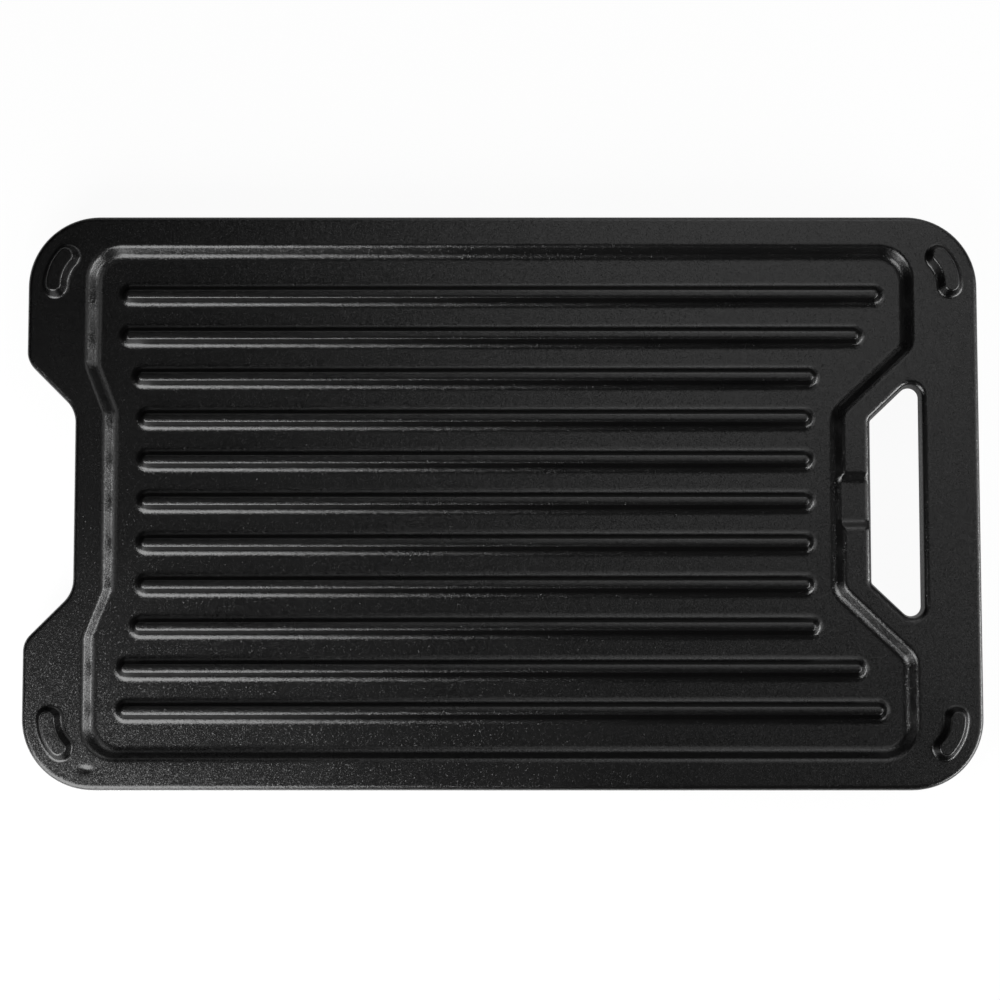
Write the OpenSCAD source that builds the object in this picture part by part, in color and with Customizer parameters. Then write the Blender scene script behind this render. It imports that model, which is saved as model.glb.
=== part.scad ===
// Cast-iron camp griddle plate, reversible: ribbed side up, flat side down.
// Millimetres, +Z up. X runs along the plate with the hand slot at +X,
// and the origin is under the middle of the plate, on the surface that it stands on.

/* [Plate] */
// Length of the plate over its two ends
plate_l = 400; // [370:1:440]
// Width of the plate over its two long sides
plate_w = 241; // [228:1:270]
// Thickness of the rim, from the land on one side to the land on the other
rim_t = 13; // [11:0.5:16]
// Radius of the four outer corners
corner_r = 30; // [28:1:40]
// Rounding of the rim's outer edges
edge_r = 2; // [1:0.25:3]
// Draft of the outer wall, in degrees, from the parting line at half thickness
edge_draft = 3; // [1:0.5:6]

/* [Grip notch] */
// Depth of the finger notch in the left end
notch_depth = 20.5; // [14:0.5:22]
// Length of the notch along its straight floor, between its corners
notch_floor_l = 76.4; // [64:0.2:84]
// Radius of the lips where the notch meets the left end
notch_lip_r = 10; // [5:0.5:12]
// Radius of the corners beside the notch floor
notch_floor_r = 13; // [6:0.5:16]

/* [Recesses] */
// Depth of the ribbed recess below the land
grill_depth = 5; // [4:0.25:6]
// Depth of the flat recess on the other side
flat_depth = 3; // [2:0.25:4]
// Slope of the recess wall, in degrees from level
wall_angle = 54; // [40:1:60]
// Rounding where the land turns down into the wall
wall_top_r = 2.5; // [1:0.25:3]
// Fillet at the foot of the wall
wall_foot_r = 4; // [2:0.25:5]
// Width of the land along the two long sides
long_land_w = 12.9; // [10:0.1:15]
// Width of the land at the left end, above and below the notch
left_land_w = 25.5; // [23:0.1:30]
// How far the left wall steps in behind the notch
left_bay_step = 7.7; // [4:0.1:10]
// Length of the stepped-in stretch of the left wall
left_bay_l = 73.6; // [60:0.2:80]
// Length along Y of each slanting stretch of the left wall
left_slant_l = 19.7; // [14:0.1:24]
// Width of the land at the right end, above and below the hand slot
right_land_w = 27.6; // [25:0.1:30]
// Length of the stretch of the right wall that steps in beside the hand slot
right_bay_l = 73; // [68:0.5:78]
// Radius of the recess corners at the foot of the wall
recess_corner_r = 8; // [4:0.5:12]
// Radius of the outward bends of the wall, at its foot
wall_bend_r = 3; // [1:0.5:5]
// Radius of the inward bends of the wall, at the land
bay_bend_r = 6; // [4:0.5:8]

/* [Hand slot] */
// Width of the slot at the parting line
slot_w = 20.4; // [16:0.2:24]
// Length of the slot's side that is nearer the ribs
slot_heel_l = 68.4; // [60:0.2:72]
// Slant of the slot's two ends, in degrees from X
slot_slant = 43.5; // [36:0.5:46]
// Width of the handle bar beyond the slot, at the parting line
handle_bar_w = 25; // [20:0.2:28]
// Width of the land between the recess and the slot, at the parting line
slot_bridge_w = 12; // [10:0.1:14]
// Radius of the two far corners of the slot
slot_far_r = 4.2; // [3:0.2:6]
// Radius of the two near corners of the slot
slot_near_r = 2; // [1:0.2:4]
// Rounding of the slot's edges
slot_edge_r = 2.5; // [1:0.25:3]
// Draft of the slot's wall, in degrees
slot_draft = 12; // [4:1:15]

/* [Drain notch] */
// Width of the drain notch at its floor
drain_w = 17; // [10:0.5:24]
// Depth of the drain notch below the land
drain_depth = 2.5; // [1:0.25:3]
// Slope of the drain notch's sides, in degrees from level
drain_angle = 40; // [30:1:60]

/* [Ribs] */
// Number of ribs, an odd number
rib_count = 11; // [9:2:13]
// Gutter between the outermost ribs and the foot of the long walls
side_gutter = 8.7; // [5:0.1:12]
// Height of the ribs above the recess floor
rib_h = 4.5; // [3:0.25:6]
// Width of a rib's crowned top
rib_top_w = 2.8; // [1.6:0.1:4]
// How far the crown leans at its edges, in degrees
rib_crown = 18; // [6:1:30]
// Slope of the rib's flanks, in degrees from level
rib_angle = 65; // [62:1:78]
// Rounding between a rib's crown and its flanks
rib_top_r = 0.7; // [0.4:0.1:1.4]
// Fillet along a rib's foot
rib_foot_r = 3.3; // [1:0.1:3.5]
// Gutter between the ribs' left ends and the foot of the wall
left_gutter = 6; // [4:0.1:9]
// Gutter between the ribs' right ends and the foot of the wall
right_gutter = 4.5; // [3:0.1:7]
// How much longer a rib is, at each end, that lies beside a slanting wall
slant_rib_reach = 2.2; // [0:0.1:3]
// How much shorter at its right end the first rib past the slanting wall is
slant_rib_setback = 8.6; // [6:0.1:12]

/* [Feet] */
// Height of the feet above the land, on both sides
foot_h = 6; // [4:0.25:8]
// Width of the flat on a foot
foot_w = 4.8; // [4:0.1:6]
// Radius of the feet's centre line about the corner's own centre
foot_arc_r = 18.2; // [16:0.1:20]
// Where a foot's centre line starts, in degrees from X
foot_from = 1; // [0:1:10]
// Where a foot's centre line ends, in degrees from X
foot_to = 43; // [36:1:50]
// Slope of a foot's flanks, in degrees from level
foot_angle = 72; // [68:1:80]
// Rounding of a foot's edge
foot_edge_r = 0.8; // [0.4:0.1:1.2]
// Fillet where a foot joins the land
foot_base_r = 1.4; // [0.6:0.1:2]

/* [Hidden] */
// Steps in each rounded corner of an outline, and in each rounding of a section
corner_steps = 6;
round_steps = 3;
// Steps round the end of a rib or a foot, an odd number, and along a foot's curve
end_steps = 7;
foot_steps = 5;
// How far the floor's edge lies inside the foot of the wall
floor_margin = 0.5;
// How far a cut runs past the surface that it opens
cut_margin = 0.4;

// Levels, from the surface that the plate stands on
low_land_z = foot_h;
mid_z = low_land_z + rim_t / 2;
land_z = low_land_z + rim_t;
floor_low_z = low_land_z + flat_depth;
floor_z = land_z - grill_depth;

// The recess wall in section: its run, the lengths its two roundings take, and its whole width
wall_round_l = wall_top_r * tan(wall_angle / 2);
wall_fillet_l = wall_foot_r * tan(wall_angle / 2);
wall_foot_in = max(grill_depth, flat_depth) / tan(wall_angle) + wall_fillet_l;
floor_in = wall_foot_in + floor_margin;

// Where the slot and the recess walls stand at the right end
slot_far_x = plate_l / 2 - handle_bar_w;
slot_near_x = slot_far_x - slot_w;
slot_near_y = slot_heel_l / 2;
slot_far_y = slot_near_y + slot_w * tan(slot_slant);
right_bay_x = slot_near_x - slot_bridge_w;
right_x = plate_l / 2 - right_land_w;
right_bay_y = right_bay_l / 2;
right_y = right_bay_y + (right_x - right_bay_x) * tan(slot_slant);

// Where the recess walls stand at the left end and along the sides
left_x = -plate_l / 2 + left_land_w;
left_bay_x = left_x + left_bay_step;
left_bay_y = left_bay_l / 2;
left_y = left_bay_y + left_slant_l;
side_y = plate_w / 2 - long_land_w;

// The finger notch at the left end
notch_x = -plate_l / 2 + notch_depth;
notch_floor_y = notch_floor_l / 2;
notch_lip_y = notch_floor_y + notch_depth;

// Outlines: corners in counter-clockwise order, each [x, y, radius]. The two outlines of the rim
// have the same number of corners, so that the land between them is one band. Where the plate's
// right end is straight, its points stand beside the corners of the recess.
recess_r = recess_corner_r + floor_in;
bend_r = wall_bend_r + floor_in;
plate_corners = [
    [plate_l / 2, -plate_w / 2, corner_r],
    [plate_l / 2, -right_y, bend_r],
    [plate_l / 2, -right_bay_y, bay_bend_r],
    [plate_l / 2, right_bay_y, bay_bend_r],
    [plate_l / 2, right_y, bend_r],
    [plate_l / 2, plate_w / 2, corner_r],
    [-plate_l / 2, plate_w / 2, corner_r],
    [-plate_l / 2, notch_lip_y, notch_lip_r],
    [notch_x, notch_floor_y, notch_floor_r],
    [notch_x, -notch_floor_y, notch_floor_r],
    [-plate_l / 2, -notch_lip_y, notch_lip_r],
    [-plate_l / 2, -plate_w / 2, corner_r]
];
recess_corners = [
    [right_x, -side_y, recess_r],
    [right_x, -right_y, bend_r],
    [right_bay_x, -right_bay_y, bay_bend_r],
    [right_bay_x, right_bay_y, bay_bend_r],
    [right_x, right_y, bend_r],
    [right_x, side_y, recess_r],
    [left_x, side_y, recess_r],
    [left_x, left_y, bend_r],
    [left_bay_x, left_bay_y, bay_bend_r],
    [left_bay_x, -left_bay_y, bay_bend_r],
    [left_x, -left_y, bend_r],
    [left_x, -side_y, recess_r]
];
slot_corners = [
    [slot_far_x, -slot_far_y, slot_far_r],
    [slot_far_x, slot_far_y, slot_far_r],
    [slot_near_x, slot_near_y, slot_near_r],
    [slot_near_x, -slot_near_y, slot_near_r]
];

function place(p) = [p[0], p[1]];
function heading(a, b) = atan2(b[1] - a[1], b[0] - a[0]);
// The signed turn from one heading to the next, between -180 and 180 degrees
function turn(from, to) = (to - from + 540) % 360 - 180;

// One corner's arc, moved inward by inset. All insets share the arc's centre, so that
// a convex corner tightens inward and a concave one opens. A corner with no turn
// gives points along its straight side instead.
function corner_arc(before, here, after, inset) =
    let (
        came = heading(before, here),
        bend = turn(came, heading(here, after)),
        side = sign(bend),
        to_centre = here[2] / cos(bend / 2),
        half = came + bend / 2 - 90,
        centre = place(here) - side * to_centre * [cos(half), sin(half)],
        reach = side * here[2] - inset
    )
    [for (i = [0:corner_steps])
        let (share = i / corner_steps, way = came - 90 + bend * share)
        abs(bend) < 0.01
            ? place(here) + here[2] * (share - 0.5) * [cos(came), sin(came)] - inset * [cos(way), sin(way)]
            : centre + reach * [cos(way), sin(way)]
    ];

function outline(corners, inset) =
    let (n = len(corners))
    [for (i = [0:n - 1])
        each corner_arc(corners[(i + n - 1) % n], corners[i], corners[(i + 1) % n], inset)];

function ring(corners, step) = [for (p = outline(corners, step[0])) [p[0], p[1], step[1]]];

// Bands of triangles between rings of n points, from ring k to the next of m rings
function bands(n, m, last) = [for (k = [0:last]) each [for (i = [0:n - 1])
    let (j = (i + 1) % n, low = k * n, high = ((k + 1) % m) * n)
    each [[low + i, high + i, high + j], [low + i, high + j, low + j]]
]];

// A flat cap on a ring whose points lie in pairs on either side of a line, as rungs of a ladder.
// It starts at index base, and faces up or down.
function ladder(n, base, up) = [for (i = [0:n / 2 - 2])
    let (a = base + i, b = base + i + 1, c = base + n - 2 - i, d = base + n - 1 - i)
    each up ? [[a, c, b], [a, d, c]] : [[a, b, c], [a, c, d]]
];

// A skin over rings of equally many points, closed by two caps
module capped_skin(rings) {
    n = len(rings[0]);
    m = len(rings);
    polyhedron(
        points = [for (r = rings) each r],
        faces = concat(bands(n, m, m - 2), ladder(n, 0, false), ladder(n, (m - 1) * n, true))
    );
}

// A skin whose last ring joins its first, as round a frame
module closed_skin(rings) {
    n = len(rings[0]);
    m = len(rings);
    polyhedron(points = [for (r = rings) each r], faces = bands(n, m, m - 1));
}

// Sections of the rim, as [inset, z] steps. The outer wall leans in from the parting line
// and rounds over to the land.
wall_lean = (rim_t / 2 - edge_r) * tan(edge_draft);
outer_up = [for (i = [0:round_steps])
    let (a = 90 * i / round_steps)
    [wall_lean + edge_r * (1 - cos(a)), land_z - edge_r * (1 - sin(a))]];
outer_section = concat(
    [for (i = [round_steps:-1:0]) [outer_up[i][0], 2 * mid_z - outer_up[i][1]]],
    [[0, mid_z]],
    outer_up
);

// The recess wall from the land down to the floor's edge, for a recess of one depth:
// each step is [inset, depth below the land]
function wall_section(depth) =
    let (foot_in = depth / tan(wall_angle) + wall_fillet_l)
    concat(
        [for (i = [0:round_steps])
            let (a = wall_angle * i / round_steps)
            [wall_top_r * sin(a) - wall_round_l, wall_top_r * (1 - cos(a))]],
        [for (i = [round_steps:-1:0])
            let (a = wall_angle * i / round_steps)
            [foot_in - wall_foot_r * sin(a), depth - wall_foot_r * (1 - cos(a))]],
        [[floor_in, depth]]
    );
grill_wall = [for (s = wall_section(grill_depth)) [s[0], land_z - s[1]]];
flat_wall = [for (s = wall_section(flat_depth)) [s[0], low_land_z + s[1]]];
inner_section = concat(grill_wall, [for (i = [len(flat_wall) - 1:-1:0]) flat_wall[i]]);

// A raised feature's section on level ground, as [half width, height] steps: in along the
// foot's fillet, up the flank, over the rounded edge and in over the crown, if it has one. The
// middle third of the crown is flat.
function raised_section(top_w, h, angle, top_r, foot_r, crown) =
    let (
        edge_x = top_w / 2,
        crown_r = crown > 0 ? edge_x / sin(crown) : 0,
        edge_z = h - crown_r * (cos(crown / 3) - cos(crown)),
        flank_x = edge_x + top_r * (sin(angle) - sin(crown)),
        flank_z = edge_z - top_r * (cos(crown) - cos(angle)),
        base_x = flank_x + flank_z / tan(angle) + foot_r * tan(angle / 2)
    )
    concat(
        [for (i = [0:round_steps])
            let (a = angle * i / round_steps)
            [base_x - foot_r * sin(a), foot_r * (1 - cos(a))]],
        [for (i = [round_steps:-1:0])
            let (a = crown + (angle - crown) * i / round_steps)
            [edge_x + top_r * (sin(a) - sin(crown)), edge_z - top_r * (cos(crown) - cos(a))]],
        crown > 0 ? [for (a = [crown * 2 / 3, crown / 3])
            [crown_r * sin(a), h - crown_r * (cos(crown / 3) - cos(a))]] : []
    );

// The outline of a raised feature, at one half width, along a line of [x, y, heading] stations
// with a round end at each end of it. It starts beside the middle of the first end.
function beside(station, way, w) = place(station) + w * [cos(station[2] + way), sin(station[2] + way)];
function track(line, w) =
    let (n = len(line), half = (end_steps - 1) / 2)
    concat(
        [for (k = [half + 1:end_steps - 1]) beside(line[0], 90 + 180 * k / end_steps, w)],
        [for (s = line) beside(s, -90, w)],
        [for (k = [1:end_steps - 1]) beside(line[n - 1], -90 + 180 * k / end_steps, w)],
        [for (i = [n - 1:-1:0]) beside(line[i], 90, w)],
        [for (k = [1:half]) beside(line[0], 90 + 180 * k / end_steps, w)]
    );
module raised(line, section) {
    capped_skin([for (s = section) [for (p = track(line, s[0])) [p[0], p[1], s[1]]]]);
}

rib_section = raised_section(rib_top_w, rib_h, rib_angle, rib_top_r, rib_foot_r, rib_crown);
foot_section = raised_section(foot_w, foot_h, foot_angle, foot_edge_r, foot_base_r, 0);

// Where each rib lies, and the wall that its ends face: the stepped-in stretch of the wall
// near the middle, and the outer stretch past it
rib_reach = rib_section[0][0];
outer_rib_y = side_y - wall_foot_in - side_gutter - rib_reach;
rib_pitch = 2 * outer_rib_y / (rib_count - 1);
function rib_y(i) = (i - (rib_count - 1) / 2) * rib_pitch;
function by_slant(y, bay_y, wall_y) = abs(y) > bay_y && abs(y) < wall_y;
function rib_from(y) =
    (abs(y) < left_y ? left_bay_x : left_x) + wall_foot_in + left_gutter
    - (by_slant(y, left_bay_y, left_y) ? slant_rib_reach : 0);
function rib_to(y) =
    (abs(y) < right_y ? right_bay_x : right_x) - wall_foot_in - right_gutter
    + (by_slant(y, right_bay_y, right_y) ? slant_rib_reach : 0)
    - (by_slant(y, right_y, right_y + rib_pitch) ? slant_rib_setback : 0);

// The four corners, as [x side, y side], and the names of the feet there
corners = [[-1, -1], [1, -1], [1, 1], [-1, 1]];
corner_names = ["left_front", "right_front", "right_back", "left_back"];

rib_names = [for (i = [1:rib_count]) str("rib_", i)];
upper_foot_names = [for (c = corner_names) str("upper_foot_", c)];
lower_foot_names = [for (c = corner_names) str("lower_foot_", c)];

iron = [0.13, 0.13, 0.135];
worn_iron = [0.18, 0.18, 0.185];

// The hand slot, wide at both lands and narrowest at the parting line
module slot_cut() {
    lean = (rim_t / 2 - slot_edge_r) * tan(slot_draft);
    half = concat(
        [[0, 0]],
        [for (i = [0:round_steps])
            let (a = 90 * i / round_steps)
            [-lean - slot_edge_r * (1 - cos(a)), rim_t / 2 - slot_edge_r * (1 - sin(a))]],
        [[-lean - slot_edge_r - cut_margin, rim_t / 2 + cut_margin]]
    );
    whole = concat([for (i = [len(half) - 1:-1:1]) [half[i][0], -half[i][1]]], half);
    capped_skin([for (s = whole) ring(slot_corners, [s[0], mid_z + s[1]])]);
}

// The notch that lets fat run from the ribbed recess over the land into the hand slot
module drain_cut() {
    top = drain_depth + cut_margin;
    spread = top / tan(drain_angle);
    from = right_bay_x - wall_round_l - cut_margin;
    to = slot_near_x + cut_margin;
    translate([from, 0, land_z - drain_depth]) rotate([90, 0, 90])
        linear_extrude(to - from) polygon([
            [-drain_w / 2, 0],
            [drain_w / 2, 0],
            [drain_w / 2 + spread, top],
            [-drain_w / 2 - spread, top]
        ]);
}

module rim() color(iron) difference() {
    closed_skin(concat(
        [for (s = outer_section) ring(plate_corners, s)],
        [for (s = inner_section) ring(recess_corners, s)]
    ));
    slot_cut();
    drain_cut();
}

module cooking_floor() color(iron) translate([0, 0, floor_low_z])
    linear_extrude(floor_z - floor_low_z) polygon(outline(recess_corners, floor_in));

module rib(i) color(worn_iron) {
    y = rib_y(i);
    ends = [rib_from(y) + rib_reach, rib_to(y) - rib_reach];
    translate([0, 0, floor_z]) raised([for (x = ends) [x, y, 0]], rib_section);
}

// One foot, curved round the centre of the right back corner and standing on level ground
module corner_foot() {
    raised([for (i = [0:foot_steps])
        let (a = foot_from + (foot_to - foot_from) * i / foot_steps)
        [foot_arc_r * cos(a), foot_arc_r * sin(a), a + 90]
    ], foot_section);
}

// The foot at one corner, standing up from the upper land, or down from the lower one
module foot(corner, up) color(worn_iron)
    translate([
        corner[0] * (plate_l / 2 - corner_r),
        corner[1] * (plate_w / 2 - corner_r),
        up ? land_z : low_land_z
    ])
        mirror([corner[0] < 0 ? 1 : 0, 0, 0]) mirror([0, corner[1] < 0 ? 1 : 0, 0])
            mirror([0, 0, up ? 0 : 1]) corner_foot();

rim();
cooking_floor();
for (i = [0:rib_count - 1])
    rib(i);
for (c = [0:len(corners) - 1]) {
    foot(corners[c], true);
    foot(corners[c], false);
}
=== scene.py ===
# %% [markdown]
# # Camp griddle plate
# A reversible griddle plate in seasoned cast iron, seen from above with its ribbed side up.
# The whole plate is one pour of iron, so it is modelled here as one closed skin that stands for
# all the CAD solids. The CAD frame is loaded first and gives the levels and places.

# %% Load the CAD frame
import math

import bpy
import numpy as np
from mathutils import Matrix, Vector
from mathutils.geometry import delaunay_2d_cdt


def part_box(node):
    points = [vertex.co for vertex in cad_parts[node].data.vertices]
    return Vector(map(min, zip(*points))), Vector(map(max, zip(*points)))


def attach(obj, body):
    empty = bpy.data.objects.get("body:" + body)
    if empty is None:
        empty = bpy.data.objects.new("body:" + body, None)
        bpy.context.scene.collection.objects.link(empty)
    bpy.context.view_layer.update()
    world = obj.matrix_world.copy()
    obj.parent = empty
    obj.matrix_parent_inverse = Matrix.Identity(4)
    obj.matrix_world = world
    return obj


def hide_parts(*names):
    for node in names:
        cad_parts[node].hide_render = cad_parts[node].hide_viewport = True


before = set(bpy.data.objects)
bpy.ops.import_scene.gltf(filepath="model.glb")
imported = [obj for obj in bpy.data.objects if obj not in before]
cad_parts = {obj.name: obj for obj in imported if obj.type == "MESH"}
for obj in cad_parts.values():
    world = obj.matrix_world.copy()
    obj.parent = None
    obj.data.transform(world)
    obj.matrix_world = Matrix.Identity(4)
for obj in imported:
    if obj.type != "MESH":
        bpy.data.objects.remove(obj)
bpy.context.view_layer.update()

# %% [markdown]
# ## Levels and places
# The level top of the rim is called the land, and there is a recess on each side of the plate. A
# box round a CAD solid says where such faces lie: the rim gives the two lands and the plate's
# outline, the cooking floor gives the bottom of both recesses. The numbers could be typed in
# again, but read from the CAD they follow it when a size changes. Everything below is in
# millimetres, and is turned into metres only when the mesh is made.

# %% Read the levels from the CAD solids
mm_per_m = 1000


def box_mm(node):
    """Lowest and highest corner of a CAD solid, in millimetres."""
    low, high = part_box(node)
    return np.array(low) * mm_per_m, np.array(high) * mm_per_m


rim_low, rim_high = box_mm("rim")
floor_low, floor_high = box_mm("cooking_floor")
half_l = rim_high[0]
half_w = rim_high[1]
low_land = rim_low[2]
land = rim_high[2]
mid = (low_land + land) / 2
half_t = (land - low_land) / 2
grill_depth = land - floor_high[2]
flat_depth = floor_low[2] - low_land
print("land at", land, "floor at", floor_high[2], "flat face at", floor_low[2])

# %% [markdown]
# ## Outline of the plate
# From above the plate is a rectangle with round corners, and its left end has a finger notch with
# slanting sides. It could be drawn by hand as a curve. Here an outline is a list of corners in
# counter-clockwise order: place, radius, and how far apart the points stand along the side that
# follows. So each size has a name, and every ring of the skin comes from the same list.

# %% Corners of the plate
corner_r = 30
notch_depth = 20.5
notch_floor_l = 76.4
notch_lip_r = 10
notch_floor_r = 13
wide = 6
notch_x = notch_depth - half_l
notch_y = notch_floor_l / 2
lip_y = notch_y + notch_depth
plate_corners = [
    (half_l, -half_w, corner_r, wide),
    (half_l, half_w, corner_r, wide),
    (-half_l, half_w, corner_r, wide),
    (-half_l, lip_y, notch_lip_r, wide),
    (notch_x, notch_y, notch_floor_r, wide),
    (notch_x, -notch_y, notch_floor_r, wide),
    (-half_l, -lip_y, notch_lip_r, wide),
    (-half_l, -half_w, corner_r, wide),
]
print(len(plate_corners), "corners round the plate")

# %% [markdown]
# ## Outline of the hand slot
# The slot that the fingers go through is a trapezium, with its long side at the handle bar. A
# Boolean could cut it out of a finished plate, but the faces along the cut would shade unevenly.
# So the slot has an outline of its own, and the skin is built round it. The side beside the drain
# notch gets close points, because its height changes there.

# %% Corners of the hand slot
handle_bar_w = 25
slot_w = 20.4
slot_heel_l = 68.4
slot_slant = math.radians(43.5)
slot_far_r = 4.2
slot_near_r = 2
close = 0.5
slot_far_x = half_l - handle_bar_w
slot_near_x = slot_far_x - slot_w
slot_near_y = slot_heel_l / 2
slot_far_y = slot_near_y + slot_w * math.tan(slot_slant)
slot_corners = [
    (slot_far_x, -slot_far_y, slot_far_r, wide),
    (slot_far_x, slot_far_y, slot_far_r, wide),
    (slot_near_x, slot_near_y, slot_near_r, close),
    (slot_near_x, -slot_near_y, slot_near_r, wide),
]
print(len(slot_corners), "corners round the hand slot")

# %% [markdown]
# ## Outline of the recesses
# Both recesses have the same outline at the land. It steps in beside the finger notch and beside
# the hand slot. It could be the plate's outline moved inward, but the real one leaves more room at
# the two ends than along the sides. So it has corners of its own, placed from the CAD floor: the
# run of the sloping wall, its fillet and a small margin lie between the two.

# %% Corners of the recesses
wall_angle = math.radians(54)
wall_foot_r = 4
floor_margin = 0.5
wall_fillet_l = wall_foot_r * math.tan(wall_angle / 2)
floor_in = grill_depth / math.tan(wall_angle) + wall_fillet_l + floor_margin
slot_bridge_w = 12
right_bay_l = 73
left_bay_step = 7.7
left_bay_l = 73.6
left_slant_l = 19.7
right_x = floor_high[0] + floor_in
left_x = floor_low[0] - floor_in
side_y = floor_high[1] + floor_in
right_bay_x = slot_near_x - slot_bridge_w
right_bay_y = right_bay_l / 2
right_y = right_bay_y + (right_x - right_bay_x) * math.tan(slot_slant)
left_bay_x = left_x + left_bay_step
left_bay_y = left_bay_l / 2
left_y = left_bay_y + left_slant_l
recess_corner_r = 8
wall_bend_r = 3
recess_r = recess_corner_r + floor_in
bend_r = wall_bend_r + floor_in
bay_r = 6
recess_corners = [
    (right_x, -side_y, recess_r, wide),
    (right_x, -right_y, bend_r, wide),
    (right_bay_x, -right_bay_y, bay_r, close),
    (right_bay_x, right_bay_y, bay_r, wide),
    (right_x, right_y, bend_r, wide),
    (right_x, side_y, recess_r, wide),
    (left_x, side_y, recess_r, wide),
    (left_x, left_y, bend_r, wide),
    (left_bay_x, left_bay_y, bay_r, wide),
    (left_bay_x, -left_bay_y, bay_r, wide),
    (left_x, -left_y, bend_r, wide),
    (left_x, -side_y, recess_r, wide),
]
print(len(recess_corners), "corners round each recess")

# %% [markdown]
# ## Rings
# A ring is an outline moved inward or outward. Scaling the outline would make a wall wider in one
# place than in another. Here each arc keeps its centre and only its radius changes, as along the
# path of a milling cutter. All rings of one outline have the same number of points, so bands of
# quads fit between any two of them.

# %% Draw an outline at an inset
arc_step = math.radians(4)
least_arc_steps = 6


def corner_arc(before, here, after, inset):
    """Points round one corner of a counter-clockwise outline, moved inward by inset."""
    came = math.atan2(here[1] - before[1], here[0] - before[0])
    goes = math.atan2(after[1] - here[1], after[0] - here[0])
    bend = (goes - came + 3 * math.pi) % (2 * math.pi) - math.pi
    outward = math.copysign(1, bend)
    half = came + bend / 2 - math.pi / 2
    to_centre = outward * here[2] / math.cos(bend / 2)
    centre = (here[0] - to_centre * math.cos(half), here[1] - to_centre * math.sin(half))
    reach = outward * here[2] - inset
    steps = max(least_arc_steps, round(abs(bend) / arc_step))
    ways = [came - math.pi / 2 + bend * i / steps for i in range(steps + 1)]
    return [(centre[0] + reach * math.cos(w), centre[1] + reach * math.sin(w)) for w in ways]


def outline(corners, inset):
    """The closed line round the corners, moved inward by inset, with points along its sides."""
    n = len(corners)
    arcs = [
        corner_arc(corners[i - 1], corners[i], corners[(i + 1) % n], inset) for i in range(n)
    ]
    line = []
    for i, here in enumerate(corners):
        after = corners[(i + 1) % n]
        a = arcs[i][-1]
        b = arcs[(i + 1) % n][0]
        pieces = max(1, round(math.dist(here[:2], after[:2]) / here[3]))
        line += arcs[i]
        line += [
            (a[0] + (b[0] - a[0]) * k / pieces, a[1] + (b[1] - a[1]) * k / pieces)
            for k in range(1, pieces)
        ]
    return line


print(len(outline(plate_corners, 0)), "points round the plate")

# %% [markdown]
# ## Sections of the walls
# Sand does not hold a sharp edge, so every edge of a casting is rounded and every inner corner
# has a fillet. A Bevel modifier could round the edges of a block. A section that is drawn step by
# step gives each one its own radius, and these radii decide how wide each highlight in the
# picture is. A section is a list of steps, each an inset and a drop below the land. A spare step
# on the level ground beside each rounding keeps the shading of the flat clean up to the edge.

# %% Sections of the edges and the recess walls
wall_top_r = 2.5
guard = 0.5
edge_steps = 9
round_steps = 6
fillet_steps = 8


def turn(angle, steps):
    """Angles from nothing to the full angle."""
    return [angle * i / steps for i in range(steps + 1)]


def edge_section(radius, draft):
    """From the parting line up the drafted wall and over its rounded edge onto the land."""
    lean = (half_t - radius) * math.tan(draft)
    steps = [
        (lean + radius * (1 - math.cos(a)), radius * (1 - math.sin(a)))
        for a in turn(math.pi / 2, edge_steps)
    ]
    return steps + [(lean + radius + guard, 0)]


def wall_section(depth):
    """From the land down the recess wall to its floor."""
    top_l = wall_top_r * math.tan(wall_angle / 2)
    foot_in = depth / math.tan(wall_angle) + wall_fillet_l
    steps = [(-top_l - guard, 0)]
    for a in turn(wall_angle, round_steps):
        steps.append((wall_top_r * math.sin(a) - top_l, wall_top_r * (1 - math.cos(a))))
    for a in reversed(turn(wall_angle, fillet_steps)):
        steps.append((foot_in - wall_foot_r * math.sin(a), depth - wall_foot_r * (1 - math.cos(a))))
    return steps + [(foot_in + guard, depth)]


print(len(wall_section(grill_depth)), "steps down a recess wall")

# %% [markdown]
# ## Sections of the ribs and the feet
# A rib has a crowned top, rounded edges, drafted flanks and a long fillet into the floor. A foot
# has a flat top and is otherwise the same. Bevelled boxes could stand for them, but a bevel gives
# no crown, and no fillet that runs out on the floor. So their section is worked out as well, this
# time as steps of a half width and a height above the ground.

# %% Section of a raised part
crown_steps = 4
flat_top_guard = 0.3


def raised_section(top_w, height, angle, top_r, foot_r, crown):
    """From level ground in along a fillet, up a flank, over a rounded edge and onto the top.

    The top leans by crown at its edges, and its middle third is flat.
    """
    edge_x = top_w / 2
    crown_r = edge_x / math.sin(crown) if crown else 0
    edge_z = height - crown_r * (math.cos(crown / 3) - math.cos(crown))
    flank_x = edge_x + top_r * (math.sin(angle) - math.sin(crown))
    flank_z = edge_z - top_r * (math.cos(crown) - math.cos(angle))
    base = flank_x + flank_z / math.tan(angle) + foot_r * math.tan(angle / 2)
    steps = [(base + guard, 0)]
    for a in turn(angle, fillet_steps):
        steps.append((base - foot_r * math.sin(a), foot_r * (1 - math.cos(a))))
    for a in reversed(turn(angle - crown, round_steps)):
        x = edge_x + top_r * (math.sin(a + crown) - math.sin(crown))
        steps.append((x, edge_z - top_r * (math.cos(crown) - math.cos(a + crown))))
    if not crown:
        return steps + [(edge_x - flat_top_guard, height)]
    for a in reversed(turn(crown * 2 / 3, crown_steps)[:-1]):
        fall = crown_r * (math.cos(crown / 3) - math.cos(a + crown / 3))
        steps.append((crown_r * math.sin(a + crown / 3), height - fall))
    return steps


print("a raised part has", fillet_steps, "steps in its fillet and", round_steps, "round its edge")

# %% [markdown]
# ## Sizes of the ribs and the feet
# The heights are those of the CAD solids. The slopes and roundings are what a pattern maker would
# choose: a rib's flanks are gentle, because it has to draw cleanly over its whole length, and the
# short feet can be steeper.

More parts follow.
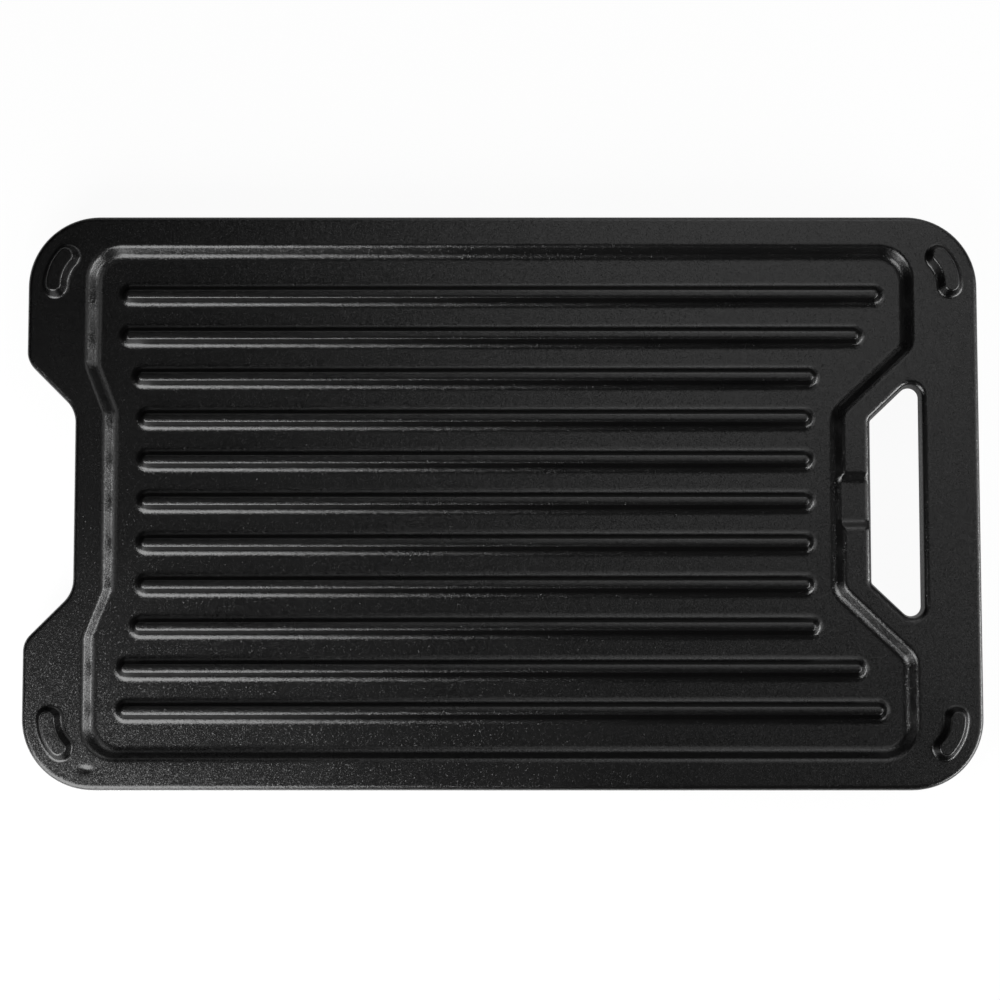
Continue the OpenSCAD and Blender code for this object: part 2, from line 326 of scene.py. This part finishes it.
# %% Sections of the ribs and the feet
rib_h = box_mm("rib_6")[1][2] - floor_high[2]
rib_angle = math.radians(65)
rib_top_w = 2.8
rib_crown = math.radians(18)
rib_top_r = 0.7
rib_foot_r = 3.3
foot_h = box_mm("upper_foot_left_back")[1][2] - land
foot_angle = math.radians(72)
foot_w = 4.8
foot_edge_r = 0.8
foot_base_r = 1.4
rib_section = raised_section(rib_top_w, rib_h, rib_angle, rib_top_r, rib_foot_r, rib_crown)
foot_section = raised_section(foot_w, foot_h, foot_angle, foot_edge_r, foot_base_r, 0)
print("a rib is", 2 * rib_section[1][0], "mm wide at its foot")

# %% [markdown]
# ## One skin
# Iron is poured into a mould of two halves, and the pattern has to lift out of the sand. So each
# side of the plate is a landscape with no overhangs. It could be sculpted, or cut from a block
# with Booleans. Here it is built from rings that step inward, with bands of quads between them,
# because that puts the points where the surface bends. The level ground between the rings is
# filled with triangles.


# %% Points, faces and bands
class Side:
    """One side of the casting. Both sides share one list of points and one list of faces.

    Its loops bound the level ground of its land: the plate's edge first, then the holes.
    """

    points = []
    faces = []

    def __init__(self, up):
        self.up = up
        self.level = land if up else low_land
        self.rise = 1 if up else -1
        self.loops = []
        self.floor_loop = []
        self.groups = {}

    def add(self, line, height, group):
        """Points along a line, at a height outward from the land. Returns their numbers."""
        first = len(Side.points)
        z = self.level + self.rise * height
        Side.points += [[x, y, z] for x, y in line]
        made = list(range(first, len(Side.points)))
        self.groups.setdefault(group, []).extend(made)
        return made

    def face(self, *corners):
        """One face, whose corners run counter-clockwise as seen from above."""
        Side.faces.append(corners if self.up else corners[::-1])

    def bands(self, rings):
        """Quads from each ring to the next one inside it."""
        for outer, inner in zip(rings, rings[1:]):
            for k in range(len(outer)):
                self.face(outer[k - 1], outer[k], inner[k], inner[k - 1])

    def cap(self, ring):
        """A flat top on a ring whose points lie in pairs on both sides of a line."""
        n = len(ring)
        for k in range(n // 2 - 1):
            self.face(ring[k], ring[k + 1], ring[n - 2 - k], ring[n - 1 - k])


upper = Side(True)
lower = Side(False)
print("two sides, meeting at the parting line at", mid, "mm")

# %% [markdown]
# ## Rim
# The outer wall leans in from the parting line at half thickness, so both halves of the pattern
# draw. The hand slot's wall does the same and is more open. An extruded outline would be quicker,
# but it has no draft, and its edge would catch no light. Both sides share the two rings on the
# parting line, so the skin is closed there.

# %% Outer wall, hand slot and recess walls
edge_r = 2
edge_draft = math.radians(3)
slot_edge_r = 2.5
slot_draft = math.radians(12)
plate_parting = upper.add(outline(plate_corners, 0), -half_t, "edge")
slot_parting = upper.add(outline(slot_corners, 0), -half_t, "slot")
for side, depth in ((upper, grill_depth), (lower, flat_depth)):
    edge = [
        side.add(outline(plate_corners, inset), -drop, "edge")
        for inset, drop in edge_section(edge_r, edge_draft)
    ]
    slot = [
        side.add(outline(slot_corners, -inset), -drop, "slot")
        for inset, drop in edge_section(slot_edge_r, slot_draft)
    ]
    wall = [
        side.add(outline(recess_corners, inset), -drop, "wall")
        for inset, drop in wall_section(depth)
    ]
    side.bands([plate_parting, *edge])
    side.bands([*slot[::-1], slot_parting])
    side.bands(wall)
    side.loops = [edge[-1], slot[-1], wall[0]]
    side.floor_loop = wall[-1]
print(len(Side.points), "points in the rim")

# %% [markdown]
# ## Ridges
# Feet and ribs are both ridges along a line, with round ends. A curve with a bevel profile could
# make such a ridge, but its ends would be flat, and it would not be joined to the ground. So the
# half widths of a section are drawn round the line as rings, each at its own height.

# %% Ridges along a line
end_steps = 15


def track(line, w):
    """The outline at half width w along stations (x, y, heading), starting mid first end."""
    half = end_steps // 2

    def beside(station, way):
        """The place at w from a station, so many degrees left of its heading."""
        angle = station[2] + math.radians(way)
        return (station[0] + w * math.cos(angle), station[1] + w * math.sin(angle))

    first_end = [beside(line[0], 90 + 180 * k / end_steps) for k in range(1, end_steps)]
    last_end = [beside(line[-1], -90 + 180 * k / end_steps) for k in range(1, end_steps)]
    right = [beside(s, -90) for s in line]
    left = [beside(s, 90) for s in reversed(line)]
    return first_end[half:] + right + last_end + left + first_end[:half]


def ridge(side, line, section, ground, group):
    """A ridge on level ground. Returns the loop round its foot."""
    rings = [side.add(track(line, w), ground + h, group) for w, h in section]
    side.bands(rings)
    side.cap(rings[-1])
    return rings[0]


print(end_steps, "steps round each end of a ridge")

# %% [markdown]
# ## Feet
# A curved foot stands in each corner of both sides, so that the plate stands level either way up.
# Its line is part of an arc about the centre of the plate's own corner. A Mirror modifier could
# copy one foot to the others, but only if the whole plate were symmetrical. So a pair of signs
# puts the line into each corner.

# %% Eight feet
foot_arc_r = 18.2
foot_from = math.radians(1)
foot_to = math.radians(43)
foot_stations = 13
feet = 0
for side in (upper, lower):
    for sx, sy in ((-1, -1), (1, -1), (1, 1), (-1, 1)):
        line = []
        for a in np.linspace(foot_from, foot_to, foot_stations):
            x = sx * (half_l - corner_r + foot_arc_r * math.cos(a))
            y = sy * (half_w - corner_r + foot_arc_r * math.sin(a))
            line.append((x, y, math.atan2(sy * math.cos(a), -sx * math.sin(a))))
        side.loops.append(ridge(side, line, foot_section, 0, "foot"))
        feet += 1
print(feet, "feet")

# %% [markdown]
# ## Ribs
# The ribs lift the food out of the fat and mark it with their lines. An Array modifier could
# repeat one rib, but those beside the slanting walls are longer. So each rib is a ridge along X
# that takes its place and its length from the box round its CAD solid.

# %% Ribs along the recess
rib_count = sum(name.startswith("rib_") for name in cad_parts)
rib_stations = 25
rib_feet = []
for number in range(1, rib_count + 1):
    low, high = box_mm(f"rib_{number}")
    reach = (high[1] - low[1]) / 2
    y = (low[1] + high[1]) / 2
    line = [(x, y, 0) for x in np.linspace(low[0] + reach, high[0] - reach, rib_stations)]
    rib_feet.append(ridge(upper, line, rib_section, -grill_depth, "rib"))
print(len(rib_feet), "ribs")

# %% [markdown]
# ## Inside and outside
# Level ground ends at the loops round it, so each place has to be told from those beyond. A line
# from a place inside a loop crosses it an odd number of times. Blender can test one place after
# another, but the ground has thousands, and arrays test them all at once.


# %% Which places lie on level ground
def inside(places, loop):
    """Which places lie inside a loop of points."""
    line = np.array(Side.points)[loop][:, :2]
    a = line[:, None]
    b = np.roll(line, -1, axis=0)[:, None]
    x = places[:, 0]
    y = places[:, 1]
    spans = (a[..., 1] > y) != (b[..., 1] > y)
    rise = np.where(b[..., 1] == a[..., 1], 1, b[..., 1] - a[..., 1])
    crossing = a[..., 0] + (y - a[..., 1]) / rise * (b[..., 0] - a[..., 0])
    return (spans & (x < crossing)).sum(axis=0) % 2 == 1


def within(places, loop, holes):
    """Which places lie inside a loop and outside its holes."""
    keep = inside(places, loop)
    for hole in holes:
        keep &= ~inside(places, hole)
    return keep


print("places are tested against loops, and against the holes in them")

# %% [markdown]
# ## Points on level ground
# The lands and the two recess floors are flat. Triangles from edge to edge could fill them, but
# such long ones shade badly, and nothing can be pressed into them. So the ground gets points of
# its own. They stand close together where the drain notch and a small dent change the height of
# the land, and far apart elsewhere.


# %% Places for extra points
def clear_of(places, loops, room):
    """The places that stay at least that far from all the loops."""
    lines = np.array(Side.points)[[i for loop in loops for i in loop]][:, :2]
    gaps = np.array([np.hypot(*(lines - p).T).min() for p in places])
    return places[gaps > room]


def spots(low, high, step):
    """Places in rows and columns over a rectangle."""
    xs = np.arange(low[0], high[0], step)
    ys = np.arange(low[1], high[1], step)
    return np.array([(x, y) for x in xs for y in ys])


drain_reach = 16
drain_step = 0.45
drain_spots = spots((right_bay_x, -drain_reach), (slot_near_x, drain_reach), drain_step)
dent = np.array((-172.9, -111.7))
dent_half = np.array((5, 3.5))
dent_step = 0.4
dent_spots = spots(dent - dent_half, dent + dent_half, dent_step)
print(len(drain_spots), "places in the drain notch and", len(dent_spots), "round the dent")

# %% [markdown]
# ## Triangles between loops
# A face in Blender has no holes, but level ground does. Blender's Fill tool could close the gap
# between two loops, and would use none of the extra points. A Delaunay triangulation uses them
# all and keeps the triangles as even as it can. Those that lie in a hole are left out.

# %% Lay triangles between loops
inside_edges = 1
merge_gap = 1e-6


def fill(side, loop, holes, extra, group):
    """Level ground inside a loop and outside its holes, with extra points in it."""
    numbers = [i for one in [loop, *holes] for i in one]
    edges = []
    first = 0
    for one in [loop, *holes]:
        edges += [(first + k, first + (k + 1) % len(one)) for k in range(len(one))]
        first += len(one)
    ground = side.rise * (Side.points[loop[0]][2] - side.level)
    numbers += side.add(extra, ground, group)
    flat = [Vector(Side.points[i][:2]) for i in numbers]
    made = delaunay_2d_cdt(flat, edges, [], inside_edges, merge_gap)
    corners, sources = made[2:4]
    triangles = np.array([[numbers[sources[v][0]] for v in t] for t in corners])
    middles = np.array(Side.points)[triangles].mean(axis=1)[:, :2]
    kept = triangles[within(middles, loop, holes)]
    for t in kept:
        side.face(*[int(i) for i in t])
    print(len(kept), "triangles on", group)


# %% [markdown]
# ## Level ground
# Each land has the hand slot, the recess and the feet as holes in it. The ribbed floor has the
# ribs, and the flat floor has none. A fine grid of points could cover all of it, but most of its
# faces would be wasted on flat ground. So the points are few and keep some room to the loops, and
# only those for the drain notch and the dent come close.

# %% Fill the lands and the floors
far_step = 9
land_room = 4
floor_room = 3
close_room = 0.3
land_spots = spots((-half_l, -half_w), (half_l, half_w), far_step)
floor_spots = spots(floor_low[:2], floor_high[:2], far_step)
for side in (upper, lower):
    plate_loop, *holes = side.loops
    extra = clear_of(land_spots, side.loops, land_room)
    if side.up:
        close_spots = np.concatenate([drain_spots, dent_spots])
        extra = np.concatenate([extra, clear_of(close_spots, side.loops, close_room)])
    fill(side, plate_loop, holes, extra[within(extra, plate_loop, holes)], "land")
    islands = rib_feet if side.up else []
    spread = clear_of(floor_spots, [side.floor_loop, *islands], floor_room)
    spread = spread[within(spread, side.floor_loop, islands)]
    fill(side, side.floor_loop, islands, spread, "floor")
print(len(Side.points), "points and", len(Side.faces), "faces in the casting")

# %% [markdown]
# ## Drain notch
# A shallow notch lets fat run from the ribbed recess into the hand slot. A Boolean could cut it,
# but with sharp edges. Here it is pressed into the skin: each point goes down to the notch where
# the notch is lower, and the two are blended so that the edges are as soft as a casting's. Beside
# the slot the rounded edge is lowered with it.

# %% Press the drain notch into the land
drain_w = 17
drain_depth = 2.5
drain_angle = math.radians(40)
drain_blend = 0.9
drain_wall_reach = 9


def smooth_min(a, b):
    """The lower of two heights, rounded where they meet."""
    near = max(drain_blend - abs(a - b), 0) / drain_blend
    return min(a, b) - near * near * drain_blend / 4


def drain_height(y):
    """Height of the drain notch at a distance along Y: a level floor between two slopes."""
    slope = (abs(y) - drain_w / 2) * math.tan(drain_angle)
    return land - drain_depth - smooth_min(0, -slope)


slot_mid_x = (slot_near_x + slot_far_x) / 2
slot_points = set(upper.groups["slot"])
for i in upper.groups["wall"] + upper.groups["land"] + upper.groups["slot"]:
    x, y, z = Side.points[i]
    if not right_bay_x - drain_wall_reach < x < slot_mid_x or abs(y) > drain_reach:
        continue
    if i in slot_points:
        top = smooth_min(land, drain_height(y))
        Side.points[i][2] = mid + (z - mid) * (top - mid) / half_t
    else:
        Side.points[i][2] = smooth_min(z, drain_height(y))
print("drain notch floor at", round(drain_height(0), 3))

# %% [markdown]
# ## Dent
# A crumb of sand in the mould left a small dent in the land, near the left front corner. A bump
# in the material would only shade it. Moving the points down makes it real from every side.

# %% Press the dent into the land
dent_depth = 0.45
dent_spread = np.array((2.6, 1.4))
for i in upper.groups["land"]:
    away = math.hypot(*((np.array(Side.points[i][:2]) - dent) / dent_spread))
    Side.points[i][2] -= dent_depth * math.exp(-(away**2))
print("dent", dent_depth, "mm deep at", tuple(dent))

# %% [markdown]
# ## The casting
# The points and faces become one mesh. The solids could be joined in Blender instead, but their
# seams would show, and there are none on a casting. The skin is closed, so every edge has two
# faces, and it stands for all the CAD solids.

# %% Make the casting
mesh = bpy.data.meshes.new("griddle_casting")
mesh.from_pydata([tuple(c / mm_per_m for c in p) for p in Side.points], [], Side.faces)
mesh.shade_smooth()
casting = bpy.data.objects.new("griddle_casting", mesh)
bpy.context.scene.collection.objects.link(casting)
uses = {}
for polygon in mesh.polygons:
    for key in polygon.edge_keys:
        uses[key] = uses.get(key, 0) + 1
open_edges = sum(1 for n in uses.values() if n != 2)
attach(casting, "root")
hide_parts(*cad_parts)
print(len(mesh.vertices), "points,", open_edges, "open edges")

# %% [markdown]
# ## Nodes
# Looks are built from nodes, which could be placed by hand in the shader editor. Placed by a
# script they can be read and changed like any other size. Most of them do a little arithmetic, so
# there is a helper for each kind.


# %% Helpers for nodes
def feed(tree, socket, value):
    """Link a socket into another one, or set a plain value."""
    if isinstance(value, bpy.types.NodeSocket):
        tree.links.new(value, socket)
    else:
        socket.default_value = value


def math_node(tree, kind, a, b):
    """A Math node; a and b are sockets or numbers."""
    node = tree.nodes.new("ShaderNodeMath")
    node.operation = kind
    feed(tree, node.inputs[0], a)
    feed(tree, node.inputs[1], b)
    return node.outputs[0]


def vector_node(tree, kind, a, b=None):
    """A Vector Math node; a and b are sockets, vectors, or for SCALE a number."""
    node = tree.nodes.new("ShaderNodeVectorMath")
    node.operation = kind
    feed(tree, node.inputs[0], a)
    if b is not None:
        feed(tree, node.inputs["Scale"] if kind == "SCALE" else node.inputs[1], b)
    return node.outputs["Value" if kind == "DOT_PRODUCT" else "Vector"]


print("helpers for Math and Vector Math nodes")

# %% [markdown]
# ## Cast grain
# Each grain of moulding sand leaves a tiny facet with a tilt of its own. That is what makes cast
# iron sparkle beside a highlight and stay plain in the middle of one. A noise bump could roughen
# the iron, but its soft hills give no lone specks. So the grain is a group that splits the surface
# into cells and leans the normal of each cell by a random amount. The amount grows with the cube
# of a random length, so most facets lean a little and a few lean far.

# %% Cast grain as a node group
grain_size = 0.25
grain_lean = 0.66
middle_colour = (0.5, 0.5, 0.5)
grain = bpy.data.node_groups.new("cast_grain", "ShaderNodeTree")
for title, value in (("Grain size mm", grain_size), ("Lean", grain_lean)):
    socket = grain.interface.new_socket(title, in_out="INPUT", socket_type="NodeSocketFloat")
    socket.default_value = value
grain.interface.new_socket("Normal", in_out="OUTPUT", socket_type="NodeSocketVector")
grain_in = grain.nodes.new("NodeGroupInput")
grain_out = grain.nodes.new("NodeGroupOutput")
cells = grain.nodes.new("ShaderNodeTexVoronoi")
cells_place = grain.nodes.new("ShaderNodeTexCoord").outputs["Object"]
grain.links.new(cells_place, cells.inputs["Vector"])
cells_scale = math_node(grain, "DIVIDE", mm_per_m, grain_in.outputs["Grain size mm"])
grain.links.new(cells_scale, cells.inputs["Scale"])
cell_tilt = vector_node(grain, "SUBTRACT", cells.outputs["Color"], middle_colour)
far_lean = vector_node(grain, "DOT_PRODUCT", cell_tilt, cell_tilt)
far_lean = math_node(grain, "MULTIPLY", far_lean, grain_in.outputs["Lean"])
cell_tilt = vector_node(grain, "SCALE", cell_tilt, far_lean)
smooth_normal = grain.nodes.new("ShaderNodeNewGeometry").outputs["Normal"]
leaning = vector_node(grain, "ADD", smooth_normal, cell_tilt)
leaning = vector_node(grain, "NORMALIZE", leaning)
grain.links.new(leaning, grain_out.inputs["Normal"])
print("made node group", grain.name)

# %% [markdown]
# ## Seasoned iron
# Oil baked onto the iron makes it black with a satin sheen. It could be a metal with a dark
# colour, but the oil is a coating, so it shines as oil does and not as bare metal. The colour and
# the sheen drift slowly over the plate, and the grain breaks up every highlight.

# %% Seasoned iron material
drift_scale = 28.0
drift_detail = 4
drift_roughness = 0.55
cool_black = (0.0005, 0.0005, 0.0006, 1)
warm_black = (0.0011, 0.0010, 0.0010, 1)
least_roughness = 0.25
roughness_drift = 0.06
iron = bpy.data.materials.new("baked_oil_on_iron")
iron.use_nodes = True
tree = iron.node_tree
surface = tree.nodes["Principled BSDF"]
grains = tree.nodes.new("ShaderNodeGroup")
grains.node_tree = grain
grains.inputs["Grain size mm"].default_value = grain_size
grains.inputs["Lean"].default_value = grain_lean
noise = tree.nodes.new("ShaderNodeTexNoise")
noise.inputs["Scale"].default_value = drift_scale
noise.inputs["Detail"].default_value = drift_detail
noise.inputs["Roughness"].default_value = drift_roughness
place = tree.nodes.new("ShaderNodeTexCoord").outputs["Object"]
tree.links.new(place, noise.inputs["Vector"])
drift = noise.outputs[0]
tone = tree.nodes.new("ShaderNodeMix")
tone.data_type = "RGBA"
tree.links.new(drift, tone.inputs["Factor"])
tone.inputs["A"].default_value = cool_black
tone.inputs["B"].default_value = warm_black
tree.links.new(tone.outputs["Result"], surface.inputs["Base Color"])
sheen = math_node(tree, "MULTIPLY", drift, roughness_drift)
sheen = math_node(tree, "ADD", sheen, least_roughness)
tree.links.new(sheen, surface.inputs["Roughness"])
tree.links.new(grains.outputs["Normal"], surface.inputs["Normal"])
mesh.materials.append(iron)
print("made material", iron.name)

# %% [markdown]
# ## Floor
# The plate stands on white paper. Lamps could light the paper to white, but they would grey the
# iron too. So camera and glass rays see the paper as white by itself. Mirror rays see a little of
# that white and mostly the lit paper, so the edges of the plate show the paper with its shadow, as
# they would in a studio.

# %% White floor
paper_size = 3.0
paper_z = -0.0003
paper_white = 0.94
mirrored_white = 0.2
paper_colour = (0.9, 0.9, 0.9, 1)
bpy.ops.mesh.primitive_plane_add(size=paper_size, location=(0, 0, paper_z))
paper = bpy.context.object
paper.name = "paper"
paper_look = bpy.data.materials.new("paper")
paper_look.use_nodes = True
paper_tree = paper_look.node_tree
paper_tree.nodes.clear()
ray = paper_tree.nodes.new("ShaderNodeLightPath")
seen = math_node(paper_tree, "MULTIPLY", ray.outputs["Is Glossy Ray"], mirrored_white)
seen = math_node(paper_tree, "MAXIMUM", seen, ray.outputs["Is Transmission Ray"])
seen = math_node(paper_tree, "MAXIMUM", seen, ray.outputs["Is Camera Ray"])
seen = math_node(paper_tree, "MULTIPLY", seen, paper_white)
lit = paper_tree.nodes.new("ShaderNodeBsdfDiffuse")
lit.inputs["Color"].default_value = paper_colour
white = paper_tree.nodes.new("ShaderNodeEmission")
white.inputs["Strength"].default_value = 1.0
blend = paper_tree.nodes.new("ShaderNodeMixShader")
paper_out = paper_tree.nodes.new("ShaderNodeOutputMaterial")
paper_tree.links.new(seen, blend.inputs["Fac"])
paper_tree.links.new(lit.outputs[0], blend.inputs[1])
paper_tree.links.new(white.outputs[0], blend.inputs[2])
paper_tree.links.new(blend.outputs[0], paper_out.inputs["Surface"])
paper.data.materials.append(paper_look)
print("floor", paper.name)

# %% [markdown]
# ## Room
# The picture's background is white, but the room round the plate has to be dark, because black
# iron shows whatever it mirrors. A white world would turn it grey. So only the camera sees the
# white, and every other ray sees a dim room, which leaves the walls that face away from the lamps
# black.

# %% Dim room
room_dim = 0.02
room_white = 0.98
room = bpy.data.worlds.new("room")
bpy.context.scene.world = room
room.use_nodes = True
room_tree = room.node_tree
backdrop = room_tree.nodes["Background"]
room_ray = room_tree.nodes.new("ShaderNodeLightPath")
room_light = math_node(room_tree, "MULTIPLY", room_ray.outputs["Is Camera Ray"], room_white)
room_light = math_node(room_tree, "ADD", room_light, room_dim)
room_tree.links.new(room_light, backdrop.inputs["Strength"])
backdrop.inputs["Color"].default_value = (1, 1, 1, 1)
print("room", room.name)

# %% [markdown]
# ## Lamps
# Eight soft lamps, each placed from a highlight that needs it. One large lamp would light the
# plate as well, but black iron is drawn by the shapes that it mirrors. A bright panel near the
# left front corner draws the lines along the ribs and makes the grain sparkle there. A low card at
# the right lights the left wall of the recess and the right ends of the ribs, and a dimmer panel
# stands over it. The level faces mirror a broad panel above the right back corner, and two dim
# ceiling cards beside it. The panels behind the plate give the ribs and the front wall their back
# edges.

# %% Soft lamps
plate_middle = (0.0, 0.0, 0.02)
left_ribs = (-0.159, 0.008, 0.02)


def soft_lamp(name, place, size, brightness, aim=plate_middle):
    """A rectangular lamp of a given surface brightness, where 1 is the white of the paper."""
    lamp = bpy.data.lights.new(name, "AREA")
    lamp.shape = "RECTANGLE"
    lamp.size, lamp.size_y = size
    lamp.energy = brightness * math.pi * size[0] * size[1]
    holder = bpy.data.objects.new(name, lamp)
    holder.location = place
    holder.rotation_euler = (Vector(aim) - Vector(place)).to_track_quat("-Z", "Y").to_euler()
    holder.visible_camera = False
    bpy.context.scene.collection.objects.link(holder)
    print("lamp", name, "at", place)


soft_lamp("left_front_panel", (-0.284, -0.292, 0.22), (0.36, 0.42), 8.4, left_ribs)
soft_lamp("right_panel", (0.79, 0.034, 0.464), (0.48, 0.944), 1.9)
soft_lamp("back_panel", (0.18, 0.72, 0.25), (1.2, 0.38), 0.5)
soft_lamp("top_panel", (0.212, 0.375, 0.94), (0.43, 0.69), 1.14)
soft_lamp("high_back_panel", (0.19, 0.78, 0.68), (0.5, 0.32), 2.2)
soft_lamp("low_right_card", (0.67, -0.29, 0.155), (0.72, 0.2), 14.0)
soft_lamp("right_ceiling", (0.43, -0.06, 0.94), (0.22, 0.2), 0.75)
soft_lamp("left_ceiling", (-0.44, 0.06, 0.94), (0.36, 0.3), 0.2)

# %% [markdown]
# ## Camera
# The camera hangs over the front half of the plate, leans five degrees and shifts its lens to
# bring the plate back to the middle. A camera straight above the middle would be simpler, but it
# would see the front and the back of the ribs alike. Its distance and lean were found by matching
# the plate's corners and ribs.

# %% Camera
view = bpy.data.cameras.new("camera")
view.sensor_width = 36
view.lens = 95.19
view.shift_y = -0.0177
tilt = math.radians(5.2)
camera = bpy.data.objects.new("camera", view)
camera.location = (-0.00111, -0.0925, 1.12)
camera.rotation_euler = (tilt, 0, 0)
bpy.context.scene.collection.objects.link(camera)
bpy.context.scene.camera = camera
bpy.context.scene.view_settings.view_transform = "Standard"
print("camera at", tuple(camera.location))
